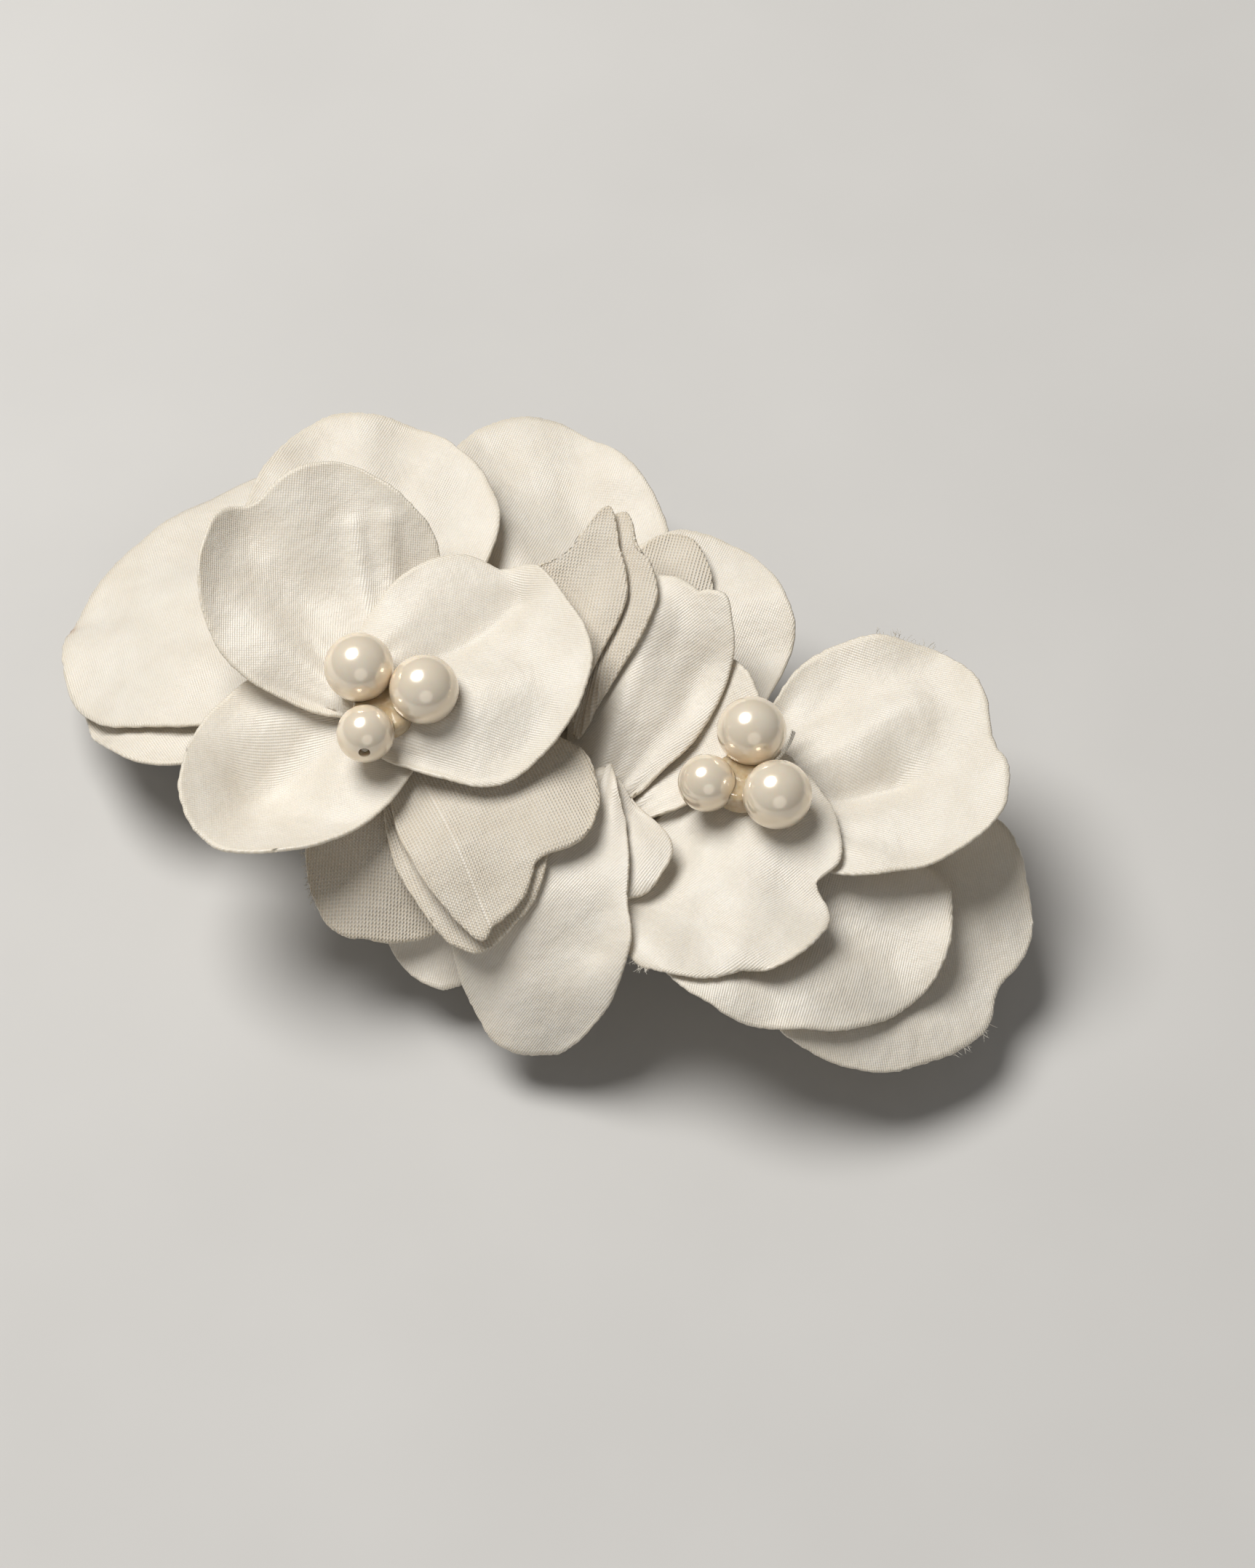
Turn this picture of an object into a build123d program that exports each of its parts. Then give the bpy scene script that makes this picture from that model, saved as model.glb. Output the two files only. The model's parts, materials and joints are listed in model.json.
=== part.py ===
"""Flower hair clip: three fabric flower heads with pearls on a felt-backed French barrette.

Millimetres. X runs along the clip, Y across it, Z up. The closed clip stands on its clasp arm
at Z = 0, with the origin under the middle of its outline.
"""

from build123d import *
from dataclasses import dataclass
import math
import os

import numpy as np

os.makedirs("parts", exist_ok=True)

# ------------------------------------------------------------------ driving dimensions

# Base strip: the arched steel strip that carries the flowers
strip_length = 76.0
strip_width = 9.0
strip_thickness = 0.6
strip_height = 11.4  # underside of the strip above the table, at mid-length
arch_drop = 4.06  # the strip's ends lie this much lower than its middle
strip_corner = 2.0
strip_y = -7.5  # middle plane of the barrette: the flowers spread further behind it than ahead

# Hinge at the left end of the strip
hinge_inset = 2.0  # pin axis in from the end of the strip
hinge_height = 3.4  # pin axis above the table
pin_radius = 0.8
pin_head_radius = 1.3
pin_head_thickness = 0.4
ear_thickness = 0.6
ear_radius = 1.7
ear_fit = 0.02  # radial room of the riveted pin in the ears
running_fit = 0.05  # radial room of the pin in the knuckles
side_gap = 0.15  # room between neighbouring knuckles along the pin

# Clasp arm: swings down from the hinge to let the hair in
arm_thickness = 0.8
arm_width = 6.4
arm_rise = 2.4  # height of the arm's arch above its two feet
arm_knuckle_radius = 1.7
arm_knuckle_width = 1.5
foot_length = 5.0
foot_from_hinge = 3.0
catch_end_width = 10.0
catch_end_height = 2.2  # underside of the raised catch end
catch_end_reach = 4.0  # the catch end runs this far past the strip's catch line
window_half_width = 3.8
window_fit = 0.6  # room along X on each side of the prongs

# Bow spring: the thin leaf that presses the hair against the arm
bow_thickness = 0.4
bow_width = 4.4
bow_knuckle_radius = 1.45
bow_knuckle_width = 2.4
bow_mid_drop = 2.0  # top of the leaf below the strip, at mid-length
bow_end_drop = 2.2  # the same at its free end
bow_end_inset = 10.0  # free end in from the end of the strip

# Catch: a bracket under the right end of the strip, with two sprung prongs
catch_inset = 3.0  # middle of the catch in from the end of the strip
catch_height = 6.6  # underside of the bracket
catch_length = 6.0
catch_half_width = 3.4
prong_width = 5.0
prong_thickness = 0.6
prong_spacing = 4.8  # between the two prongs' middle planes
prong_gap = 0.05  # between a prong's round top and the bracket
prong_foot_height = 0.9
barb_reach = 3.7  # outer edge of the barbs from the middle plane
barb_drop = 0.15  # top of the barb below the arm's catch end

# Felt
felt_length = 66.0
felt_width = 18.0
felt_thickness = 1.0
felt_corner = 8.0
disc_thickness = 0.8
lay_gap = 0.05  # room under and between the layers that are glued together

# Thread
stitch_radius = 0.2
stitch_side_room = 0.25  # thread clear of the strip's long edges
stitch_drop = 0.1  # thread clear of the strip's underside
stitch_count = 5
stitch_spacing = 12.0

# Fabric petals
cloth = 0.35  # thickness of the stiffened fabric
petal_gap = 0.2  # least height left free between one petal and the next
table_room = 1.2  # no petal hangs lower than this

# Pearls
large_pearl = 6.0
small_pearl = 5.0
pearl_hole = 1.0
pearl_room = 0.1
pearl_thread = 0.6  # diameter of the doubled thread through a pearl
thread_recess = 0.5  # its cut ends lie this deep in the hole
glue_radius = 2.6
glue_rise = 0.4  # the glue's top above the lowest pearl's middle
glue_corner = 0.5
glue_fit = 0.02

# Middles of the three flower heads
left_hub = (-12.8, -10.4)
middle_hub = (7.6, -7.4)
right_hub = (19.7, -5.0)
left_disc_radius = 8.0
middle_disc_radius = 5.2
right_disc_radius = 7.0

# ------------------------------------------------------------------ places that follow

strip_plane = Plane(origin=(0, strip_y, 0), x_dir=(1, 0, 0), z_dir=(0, -1, 0))
table_plane = Plane(origin=(0, strip_y, 0), x_dir=(1, 0, 0), z_dir=(0, 0, 1))

strip_end = strip_length / 2
arch_radius = (strip_end**2 + arch_drop**2) / (2 * arch_drop)
hinge_x = -strip_end + hinge_inset
catch_x = strip_end - catch_inset
strip_top = strip_height + strip_thickness
felt_top = strip_top + felt_thickness
disc_top = felt_top + lay_gap + disc_thickness
bow_half_knuckle = bow_knuckle_width / 2
arm_inner_face = bow_half_knuckle + side_gap
arm_outer_face = arm_inner_face + arm_knuckle_width
ear_inner_face = arm_outer_face + side_gap
ear_outer_face = ear_inner_face + ear_thickness


def save(builder, name):
    """Label a finished piece and write it as its own file."""
    builder.part.label = name
    export_step(builder.part, f"parts/{name}.step")


def cross_plane(x):
    """Plane across the clip at x, seen from its right end."""
    return Plane(origin=(x, strip_y, 0), x_dir=(0, 1, 0), z_dir=(1, 0, 0))


def arch_height(x, above_strip=0.0):
    """Height of the strip's underside at x, or of a layer that lies above or below it."""
    radius = arch_radius + above_strip
    return strip_height - arch_radius + math.sqrt(radius**2 - x**2)


def arched_band(x_start, x_end, above_strip, thickness):
    """Side profile of a layer that follows the arch, for a sketch on the strip's plane."""
    places = (x_start, (x_start + x_end) / 2, x_end)
    with BuildLine() as outline:
        lower = ThreePointArc(*[(x, arch_height(x, above_strip)) for x in places])
        upper = ThreePointArc(*[(x, arch_height(x, above_strip + thickness)) for x in places])
        Line(lower @ 0, upper @ 0)
        Line(lower @ 1, upper @ 1)
    make_face(outline.edges())


# ------------------------------------------------------------------ barrette

with BuildPart() as base_strip:
    with BuildSketch(strip_plane):
        arched_band(-strip_end, strip_end, 0.0, strip_thickness)
    extrude(amount=strip_width / 2, both=True)
    fillet(base_strip.edges().filter_by(Axis.Z), radius=strip_corner)
    ear_top = arch_height(hinge_x) + strip_thickness / 2
    for side in (-1, 1):
        ear_middle = side * (ear_inner_face + ear_outer_face) / 2
        with BuildSketch(strip_plane.offset(-ear_middle)):
            with Locations((hinge_x, (hinge_height + ear_top) / 2)):
                Rectangle(2 * ear_radius, ear_top - hinge_height)
            with Locations((hinge_x, hinge_height)):
                Circle(ear_radius)
                Circle(pin_radius + ear_fit, mode=Mode.SUBTRACT)
        extrude(amount=ear_thickness / 2, both=True)
save(base_strip, "base_strip")

with BuildPart() as hinge_pin:
    with BuildSketch(strip_plane):
        with Locations((hinge_x, hinge_height)):
            Circle(pin_radius)
    extrude(amount=ear_outer_face + pin_head_thickness, both=True)
    for side in (-1, 1):
        with BuildSketch(strip_plane.offset(side * ear_outer_face)):
            with Locations((hinge_x, hinge_height)):
                Circle(pin_head_radius)
        extrude(amount=side * pin_head_thickness)
    outer_rims = hinge_pin.edges().filter_by(GeomType.CIRCLE).group_by(Axis.Y)
    fillet(outer_rims[0] + outer_rims[-1], radius=pin_head_thickness / 2)
save(hinge_pin, "hinge_pin")

foot_start = hinge_x + foot_from_hinge
arch_start = foot_start + foot_length
right_foot_end = catch_x - foot_length
arch_end = right_foot_end - foot_length + 1.0
arch_middle = (arch_start + arch_end) / 2
window_start = catch_x - prong_width / 2 - window_fit
window_end = catch_x + prong_width / 2 + window_fit
arm_end = catch_x + catch_end_reach + 1.0

with BuildPart() as clasp_arm:
    # The arched middle and the left foot
    with BuildSketch(strip_plane):
        with BuildLine():
            Line((foot_start, 0), (arch_start, 0))
            ThreePointArc((arch_start, 0), (arch_middle, arm_rise), (arch_end, 0))
            Line((arch_end, 0), (arch_end, arm_thickness))
            ThreePointArc(
                (arch_end, arm_thickness),
                (arch_middle, arm_rise + arm_thickness),
                (arch_start, arm_thickness),
            )
            Line((arch_start, arm_thickness), (foot_start, arm_thickness))
            Line((foot_start, arm_thickness), (foot_start, 0))
        make_face()
    extrude(amount=arm_width / 2, both=True)
    # The right foot, the step and the raised catch end
    with BuildSketch(strip_plane):
        with BuildLine():
            Polyline(
                (arch_end, 0),
                (right_foot_end, 0),
                (window_start - arm_thickness / 2, catch_end_height),
                (arm_end, catch_end_height),
                (arm_end, catch_end_height + arm_thickness),
                (window_start - arm_thickness, catch_end_height + arm_thickness),
                (right_foot_end - arm_thickness / 2, arm_thickness),
                (arch_end, arm_thickness),
                close=True,
            )
        make_face()
    extrude(amount=catch_end_width / 2, both=True)
    end_corners = clasp_arm.edges().filter_by(Axis.Z).group_by(Axis.X)[-1]
    fillet(end_corners, radius=arm_thickness)
    with BuildSketch(table_plane):
        with Locations(((window_start + window_end) / 2, 0)):
            RectangleRounded(window_end - window_start, 2 * window_half_width, arm_thickness / 2)
    extrude(amount=catch_end_height + 2 * arm_thickness, mode=Mode.SUBTRACT)
    # The web that rises to the knuckles, and the slot for the bow's knuckle between them
    with BuildSketch(strip_plane):
        with BuildLine():
            Polyline(
                (foot_start, 0),
                (foot_start, arm_thickness),
                (hinge_x + arm_knuckle_radius, hinge_height - arm_thickness),
                (hinge_x, hinge_height),
                (hinge_x, hinge_height - arm_knuckle_radius),
                close=True,
            )
        make_face()
        with Locations((hinge_x, hinge_height)):
            Circle(arm_knuckle_radius)
            Circle(pin_radius + running_fit, mode=Mode.SUBTRACT)
    extrude(amount=arm_outer_face, both=True)
    with BuildSketch(strip_plane):
        with Locations((hinge_x, hinge_height)):
            Circle(arm_knuckle_radius + side_gap)
    extrude(amount=arm_inner_face, both=True, mode=Mode.SUBTRACT)
save(clasp_arm, "clasp_arm")

bow_end = strip_end - bow_end_inset
bow_start_height = hinge_height + bow_knuckle_radius - bow_thickness
bow_mid_height = strip_height - bow_mid_drop - bow_thickness
bow_end_height = arch_height(bow_end) - bow_end_drop - bow_thickness
bow_neck_end = hinge_x + arm_knuckle_radius + side_gap

with BuildPart() as bow_spring:
    with BuildSketch(strip_plane):
        with BuildLine():
            lower = ThreePointArc(
                (hinge_x, bow_start_height), (0, bow_mid_height), (bow_end, bow_end_height)
            )
            upper = ThreePointArc(
                (hinge_x, bow_start_height + bow_thickness),
                (0, bow_mid_height + bow_thickness),
                (bow_end, bow_end_height + bow_thickness),
            )
            Line(lower @ 0, upper @ 0)
            Line(lower @ 1, upper @ 1)
        make_face()
    extrude(amount=bow_width / 2, both=True)
    fillet(bow_spring.edges().filter_by(Axis.Z).group_by(Axis.X)[-1], radius=bow_width / 3)
    # Beside the neck the leaf is cut back to the width of its knuckle
    with BuildSketch(table_plane):
        with Locations((hinge_x, 0)):
            Rectangle(2 * (bow_neck_end - hinge_x), bow_width)
            Rectangle(2 * (bow_neck_end - hinge_x), bow_knuckle_width, mode=Mode.SUBTRACT)
    extrude(amount=strip_height, mode=Mode.SUBTRACT)
    with BuildSketch(strip_plane):
        with Locations((hinge_x, hinge_height)):
            Circle(bow_knuckle_radius)
    extrude(amount=bow_half_knuckle, both=True)
    with BuildSketch(strip_plane):
        with Locations((hinge_x, hinge_height)):
            Circle(pin_radius + running_fit)
    extrude(amount=bow_half_knuckle, both=True, mode=Mode.SUBTRACT)
save(bow_spring, "bow_spring")

with BuildPart() as catch_bracket:
    with BuildSketch(strip_plane):
        with BuildLine():
            places = (catch_x - catch_length / 2, catch_x, catch_x + catch_length / 2)
            seat = ThreePointArc(*[(x, arch_height(x)) for x in places])
            Polyline(
                seat @ 0,
                (places[0], catch_height),
                (places[2], catch_height),
                seat @ 1,
            )
        make_face()
    extrude(amount=catch_half_width, both=True)
save(catch_bracket, "catch_bracket")

prong_pivot_height = catch_height - prong_gap - prong_thickness / 2
barb_top = catch_end_height - barb_drop
for side, name in ((-1, "catch_prong_front"), (1, "catch_prong_back")):
    middle = prong_spacing / 2
    inner = middle - prong_thickness / 2
    outer = middle + prong_thickness / 2
    with BuildPart() as prong:
        with BuildSketch(cross_plane(catch_x)):
            with BuildLine():
                Polyline(
                    (side * inner, prong_pivot_height),
                    (side * outer, prong_pivot_height),
                    (side * outer, barb_top),
                    (side * barb_reach, barb_top),
                    (side * outer, prong_foot_height),
                    (side * inner, prong_foot_height),
                    close=True,
                )
            make_face()
            with Locations((side * middle, prong_pivot_height)):
                Circle(prong_thickness / 2)
        extrude(amount=prong_width / 2, both=True)
    save(prong, name)

# ------------------------------------------------------------------ felt and stitches

with BuildPart() as backing_felt:
    with BuildSketch(strip_plane):
        arched_band(-felt_length / 2, felt_length / 2, strip_thickness, felt_thickness)
    extrude(amount=felt_width / 2, both=True)
    with BuildSketch(table_plane):
        RectangleRounded(felt_length, felt_width, felt_corner)
    extrude(amount=disc_top, mode=Mode.INTERSECT)
save(backing_felt, "backing_felt")

for hub, radius, name in (
    (left_hub, left_disc_radius, "left_felt_disc"),
    (middle_hub, middle_disc_radius, "middle_felt_disc"),
    (right_hub, right_disc_radius, "right_felt_disc"),
):
    with BuildPart() as felt_disc:
        with BuildSketch(strip_plane):
            above = strip_thickness + felt_thickness + lay_gap
            arched_band(hub[0] - radius - 1, hub[0] + radius + 1, above, disc_thickness)
        extrude(amount=abs(hub[1] - strip_y) + radius + 1, both=True)
        with BuildSketch(Plane.XY):
            with Locations(hub):
                Circle(radius)
        extrude(amount=disc_top, mode=Mode.INTERSECT)
    save(felt_disc, name)

stitch_side = strip_width / 2 + stitch_side_room + stitch_radius
with BuildPart() as stitches:
    for i in range(stitch_count):
        x = (i - (stitch_count - 1) / 2) * stitch_spacing
        low = arch_height(x) - stitch_drop - stitch_radius
        high = arch_height(x, strip_thickness)
        with BuildLine(cross_plane(x)) as loop:
            FilletPolyline(
                (-stitch_side, high),
                (-stitch_side, low),
                (stitch_side, low),
                (stitch_side, high),
                radius=2 * stitch_radius,
            )
        with BuildSketch(Plane(origin=loop.line @ 0, z_dir=loop.line % 0)):
            Circle(stitch_radius)
        sweep(path=loop.line)
save(stitches, "stitches")

# ------------------------------------------------------------------ petals


@dataclass
class Petal:
    """One petal, described flat and then bent.

    It leaves its hub at `base`, pointing along `azimuth` (degrees from +X). Its middle line
    starts at `pitch` above level and turns by `curl` on its way to the tip. `left` and
    `right` are its half widths as seen from the hub. `cup` is the sideways curvature,
    one over the radius, positive where the sides turn up.
    """

    name: str
    base: tuple
    azimuth: float
    length: float
    left: float
    right: float
    pitch: float
    curl: float
    cup: float = 0.02
    neck: float = 0.3


class Pile:
    """Height of the topmost layer laid so far, over a square grid above the table."""

    cell = 0.5
    cells = 320

    def __init__(self):
        self.top = np.full((self.cells, self.cells), table_room)

    def cell_of(self, points):
        """Row and column of each point."""
        index = np.round(points[..., :2] / self.cell).astype(int) + self.cells // 2
        index = np.clip(index, 0, self.cells - 1)
        return index[..., 0], index[..., 1]

    def height(self, points):
        """Height of the pile under each point."""
        return self.top[self.cell_of(points)]

    def lay(self, points):
        """Raise the pile to a new layer's points."""
        np.maximum.at(self.top, self.cell_of(points), points[..., 2])


def finer(grid, times):
    """The same surface with more rows and columns, by straight interpolation."""
    for axis in (0, 1):
        count = grid.shape[axis]
        places = np.linspace(0, count - 1, (count - 1) * times + 1)
        before = np.minimum(places.astype(int), count - 2)
        share = (places - before).reshape((-1, 1, 1) if axis == 0 else (1, -1, 1))
        first = np.take(grid, before, axis)
        second = np.take(grid, before + 1, axis)
        grid = first * (1 - share) + second * share
    return grid


def petal_grid(petal, rows=11):
    """Points on the underside of a petal, from its base to its tip and from left to right."""
    along = np.linspace(0, 1, rows)[:, None]
    across = np.linspace(-1, 1, rows)[None, :]
    swell = np.clip(along / 0.62, 0, 1)
    shoulder = petal.neck + (1 - petal.neck) * swell**2 * (3 - 2 * swell)
    closing = np.sqrt(1 - 0.75 * np.clip((along - 0.55) / 0.45, 0, 1) ** 2)
    side = np.where(across > 0, petal.right, petal.left)
    width = across * side * shoulder * closing
    share = along * (1 - 0.08 * across**2 * along)

    pitch = math.radians(petal.pitch)
    curl = math.radians(petal.curl)
    angle = pitch + curl * share
    reach = petal.length / curl * (np.sin(angle) - math.sin(pitch))
    rise = petal.length / curl * (math.cos(pitch) - np.cos(angle))
    sideways = np.sin(petal.cup * width) / petal.cup
    lift = (1 - np.cos(petal.cup * width)) / petal.cup

    heading = math.radians(petal.azimuth)
    outward = reach - lift * np.sin(angle)
    x = petal.base[0] + outward * math.cos(heading) + sideways * math.sin(heading)
    y = petal.base[1] + outward * math.sin(heading) - sideways * math.cos(heading)
    z = petal.base[2] + rise + lift * np.cos(angle)
    return np.stack([x, y, z], axis=-1)


def settle(grid, pile):
    """Raise a petal, softly, until it clears everything laid before it."""
    fine = finer(grid, 2)
    need = np.maximum(0, pile.height(fine) + petal_gap - fine[..., 2])
    padded = np.pad(need, 1, mode="edge")
    size = need.shape[0]
    around = [padded[i : i + size, j : j + size] for i in range(3) for j in range(3)]
    need = np.max(around, axis=0)[::2, ::2]

    flat = grid[..., :2].reshape(-1, 2)
    apart = np.linalg.norm(flat[:, None] - flat[None], axis=-1)
    lift = np.max(need.reshape(1, -1) - 0.45 * apart, axis=1).clip(0).reshape(need.shape)
    for _ in range(3):
        edge = np.pad(lift, 1, mode="edge")
        beside = edge[:-2, 1:-1] + edge[2:, 1:-1] + edge[1:-1, :-2] + edge[1:-1, 2:]
        lift = (beside + 2 * lift) / 6
    lift = lift + max(0, (need - lift).max())
    raised = grid.copy()
    raised[..., 2] += lift
    return raised


def lay_base(pile):
    """Put the felt, the discs and the strip's bare ends under the petals."""
    for i, x in enumerate((np.arange(pile.cells) - pile.cells // 2) * pile.cell):
        y = (np.arange(pile.cells) - pile.cells // 2) * pile.cell
        if abs(x) < strip_end + 0.5:
            on_strip = abs(y - strip_y) < strip_width / 2 + 0.5
            pile.top[i, on_strip] = arch_height(x, strip_thickness)
        if abs(x) < felt_length / 2 + 0.5:
            on_felt = abs(y - strip_y) < felt_width / 2 + 0.5
            pile.top[i, on_felt] = arch_height(x, strip_thickness + felt_thickness)
        for hub, radius in (
            (left_hub, left_disc_radius),
            (middle_hub, middle_disc_radius),
            (right_hub, right_disc_radius),
        ):
            on_disc = np.hypot(x - hub[0], y - hub[1]) < radius + 0.5
            if on_disc.any():
                above = strip_thickness + felt_thickness + lay_gap + disc_thickness
                pile.top[i, on_disc] = arch_height(x, above)


def beside(hub, z, dx=0.0, dy=0.0):
    """A petal's starting point, given from the middle of its flower head."""
    return (hub[0] + dx, hub[1] + dy, z)


# From the lowest layer to the highest, in the order in which they are sewn on
petals = [
    Petal("left_under_petal_front", beside(left_hub, 12, 0.8, 0.8), -52, 22.5, 7, 5.5, -14, -14),
    Petal("left_under_petal_left", beside(left_hub, 12, -1.2, 2.8), 174, 30.5, 13, 12, -8, -12),
    Petal("left_outer_petal_front", beside(left_hub, 12, -0.2, 1.8), -72, 20.5, 10, 6, -14, -16),
    Petal("left_outer_petal_left", beside(left_hub, 12.5, -1.2, 2.8), 160, 34.2, 15.5, 19.5, -4, -16, -0.01),
    Petal("middle_petal_back", beside(middle_hub, 12, -3, 4), 124, 37.5, 12, 11.5, 3, -4),
    Petal("left_outer_petal_back", beside(left_hub, 13, -1.2, 2.8), 119, 32, 11, 13, 8, -5),
    Petal("right_petal_back", beside(right_hub, 12.5, -3.5, 2), 120, 26, 9, 9, 8, -1),
    Petal("right_petal_back_upper", beside(middle_hub, 13), 98, 26.5, 5.5, 5, 8, -1),
    Petal("right_under_petal_front", beside(right_hub, 12.5, -0.5, 2), -23, 28.5, 14.5, 15, -8, -12),
    Petal("right_outer_petal_front", beside(right_hub, 13, -0.5, 2), -50, 24, 13.5, 13.5, -6, -10),
    Petal("right_petal_right", beside(right_hub, 14, -0.5), 31, 23.5, 13.5, 10, 5, 10, neck=0.7),
    Petal("right_petal_front", beside(right_hub, 14.5, -0.5, 5), -91, 24, 11.5, 7, 1, -22, neck=0.7),
    Petal("middle_petal_right_under", beside(middle_hub, 13.5, 1.5, -3), 74, 18, 5, 6, 14, 10, neck=0.6),
    Petal("middle_petal_right", beside(middle_hub, 14, 0, -3), 85, 21.5, 7, 5.5, 20, 10, -0.06, 0.7),
    Petal("middle_petal_upright_under", beside(middle_hub, 13.5, -3.8, 2.3), 99, 21.3, 6, 4.5, 20, 10),
    Petal("middle_petal_upright", beside(middle_hub, 14, -5.4, 2.3), 99, 20.5, 7, 3.5, 20, 10),
    Petal("middle_petal_corner", beside(middle_hub, 14), -68, 13, 5.4, 5.6, -8, -20),
    Petal("middle_petal_front", beside(middle_hub, 15), -82, 25.5, 6, 10.5, -8, -45, 0.03),
    Petal("left_under_petal_right", beside(left_hub, 14, -1.2, 2.8), -46, 26.5, 9.5, 4.5, -1, -25),
    Petal("left_outer_petal_right", beside(left_hub, 15, -1.2, 2.8), -44, 25, 13.5, 4, 2, -22),
    Petal("left_inner_petal_front", beside(left_hub, 15, 2.5, 4.3), -120, 24.5, 9, 10.5, -2, 16, 0.05, 0.6),
    Petal("left_inner_petal_back", beside(left_hub, 15.5), 146, 24, 11, 13, 22, 12, 0.04, 0.7),
    Petal("left_inner_petal_right", beside(left_hub, 15, -2.4, -1.8), 36, 23.6, 12.3, 11, 16, 15, neck=0.7),
]

pile = Pile()
lay_base(pile)
for petal in petals:
    grid = settle(petal_grid(petal), pile)
    rows = [[Vector(*point) for point in row] for row in grid.tolist()]
    surface = Face.make_surface_from_array_of_points(rows)
    with BuildPart() as sheet:
        extrude(surface, amount=cloth, dir=(0, 0, 1))
    save(sheet, petal.name)
    top = finer(grid, 6)
    top[..., 2] += cloth
    pile.lay(top)

# ------------------------------------------------------------------ pearls


@dataclass
class Cluster:
    """Three pearls around one point, which is `middle` from the hub of their flower.

    Each pearl is (name, diameter, bearing from the middle, bearing and rise of its hole). It
    lies `spread` times its own radius from the middle, so that pearls of any size stay apart.
    """

    hub: tuple
    middle: tuple
    spread: float
    pearls: list


clusters = {
    "left": Cluster(
        left_hub,
        (1.43, -1.9),
        1.21,
        [
            ("pearl_back", large_pearl, 147, 112, 34),
            ("pearl_right", large_pearl, 35, 112, 34),
            ("pearl_front", small_pearl, -96, -68, 14),
        ],
    ),
    "right": Cluster(
        right_hub,
        (-0.8, -0.1),
        1.25,
        [
            ("pearl_back", large_pearl, 99.5, 22, 0),
            ("pearl_left", small_pearl, -147, 112, 34),
            ("pearl_right", large_pearl, -17, 112, 34),
        ],
    ),
}


def footprint(place, radius):
    """Points over a round area, to feel how high the petals reach under it."""
    steps = np.linspace(-radius, radius, 13)
    x, y = np.meshgrid(steps, steps)
    inside = np.hypot(x, y) <= radius
    return np.stack([place[0] + x[inside], place[1] + y[inside]], axis=-1)


def heading(bearing, rise=0.0):
    """Unit vector at a bearing from +X and a rise above level, both in degrees."""
    return Vector(1, 0, 0).rotate(Axis.Y, -rise).rotate(Axis.Z, bearing)


for flower, cluster in clusters.items():
    middle = Vector(*cluster.hub) + Vector(*cluster.middle)
    beads = []
    for name, diameter, bearing, hole_bearing, hole_rise in cluster.pearls:
        radius = diameter / 2
        place = middle + heading(bearing) * (cluster.spread * radius)
        under = footprint((place.X, place.Y), radius)
        off_centre = np.hypot(under[:, 0] - place.X, under[:, 1] - place.Y)
        lower_half = np.sqrt(np.maximum(0, radius**2 - off_centre**2))
        height = (pile.height(under) + lower_half).max() + pearl_room
        across = Plane((place.X, place.Y, height), z_dir=heading(hole_bearing, hole_rise))
        beads.append((across, radius))
        with BuildPart() as pearl:
            with Locations(across.origin):
                Sphere(radius)
            with Locations(across):
                Cylinder(pearl_hole / 2, diameter, mode=Mode.SUBTRACT)
        save(pearl, f"{flower}_{name}")

    # A thread lies in each pearl's hole, cut off inside it
    with BuildPart() as threads:
        for across, radius in beads:
            with Locations(across):
                Cylinder(pearl_thread / 2, 2 * (radius - thread_recess))
    save(threads, f"{flower}_pearl_threads")

    # Clear glue wells up between the pearls and holds them
    bed = pile.height(footprint((middle.X, middle.Y), glue_radius)).max() + lay_gap
    glue_top = min(across.origin.Z for across, radius in beads) + glue_rise
    with BuildPart() as glue:
        with Locations((middle.X, middle.Y, bed)):
            Cylinder(
                glue_radius,
                glue_top - bed,
                align=(Align.CENTER, Align.CENTER, Align.MIN),
            )
        fillet(glue.edges().filter_by(GeomType.CIRCLE).sort_by(Axis.Z)[-1], radius=glue_corner)
        for across, radius in beads:
            with Locations(across.origin):
                Sphere(radius + glue_fit, mode=Mode.SUBTRACT)
    save(glue, f"{flower}_pearl_glue")
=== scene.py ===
"""The looks of the flower hair clip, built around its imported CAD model.

Shapes are worked out in millimetres in the model's own frame and written to Blender in metres.
Every petal is cut flat, bent, laid on the pile of petals below it and given its thickness.
"""

import json
import math
import random
from dataclasses import dataclass, field

import bpy
import numpy as np
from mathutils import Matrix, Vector


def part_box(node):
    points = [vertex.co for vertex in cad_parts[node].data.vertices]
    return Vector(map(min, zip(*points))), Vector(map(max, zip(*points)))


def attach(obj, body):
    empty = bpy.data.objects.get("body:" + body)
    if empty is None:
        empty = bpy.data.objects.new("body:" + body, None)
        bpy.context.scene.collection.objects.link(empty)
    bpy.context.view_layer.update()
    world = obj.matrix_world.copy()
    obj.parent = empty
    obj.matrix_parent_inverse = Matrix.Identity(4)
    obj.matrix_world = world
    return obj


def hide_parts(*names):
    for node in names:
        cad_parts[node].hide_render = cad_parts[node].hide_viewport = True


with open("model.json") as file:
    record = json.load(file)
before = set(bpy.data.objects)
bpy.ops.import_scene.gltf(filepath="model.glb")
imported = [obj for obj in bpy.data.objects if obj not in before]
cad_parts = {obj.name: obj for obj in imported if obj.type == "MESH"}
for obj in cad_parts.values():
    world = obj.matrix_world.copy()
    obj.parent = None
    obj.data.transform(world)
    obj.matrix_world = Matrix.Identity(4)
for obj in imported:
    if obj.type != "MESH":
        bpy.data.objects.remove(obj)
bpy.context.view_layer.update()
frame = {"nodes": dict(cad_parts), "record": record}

MM = 0.001  # one millimetre, in Blender's metres
BODY = "barrette"  # the body that every added piece rides on

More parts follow.
